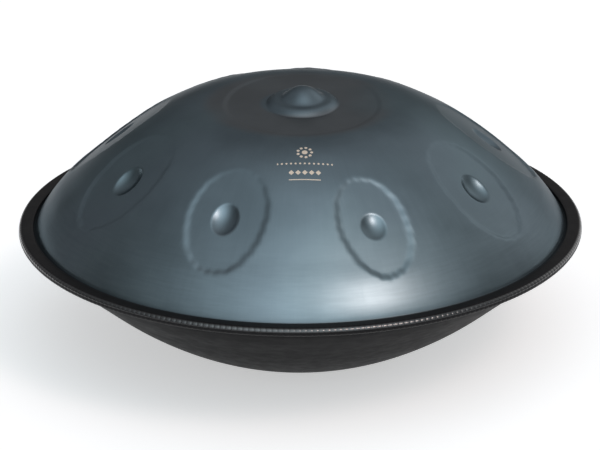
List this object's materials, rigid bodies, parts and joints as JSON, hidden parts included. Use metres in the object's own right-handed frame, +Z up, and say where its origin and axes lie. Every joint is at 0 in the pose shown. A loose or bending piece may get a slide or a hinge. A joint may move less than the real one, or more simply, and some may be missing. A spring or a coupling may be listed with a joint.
{
  "type": "handpan",
  "caption": "Lens-shaped steel hand drum: domed shell with a raised centre note and dimpled tone fields, glued to a lower bowl with a port, black rubber edge trim.",
  "frame": {"origin": "centre of the flat ring the lower shell rests on, at floor level", "axes": "+Z up along the drum axis, towards the centre note; -Y towards the player, where the smallest tone fields are; +X to the player's right"},
  "size_m": [0.54, 0.54, 0.2593],
  "materials": {
    "nitrided_steel_top": "satin nitrided blue-grey",
    "nitrided_steel_bottom": "satin nitrided, near black",
    "adhesive": "cured structural adhesive",
    "trim_rubber": "satin black",
    "trim_core_steel": "slotted steel strip"
  },
  "bodies": {
    "root": {"top_shell": "nitrided_steel_top", "bottom_shell": "nitrided_steel_bottom", "flange_adhesive": "adhesive", "rim_trim": "trim_rubber", "rim_trim_core": "trim_core_steel"}
  },
  "joints": []
}
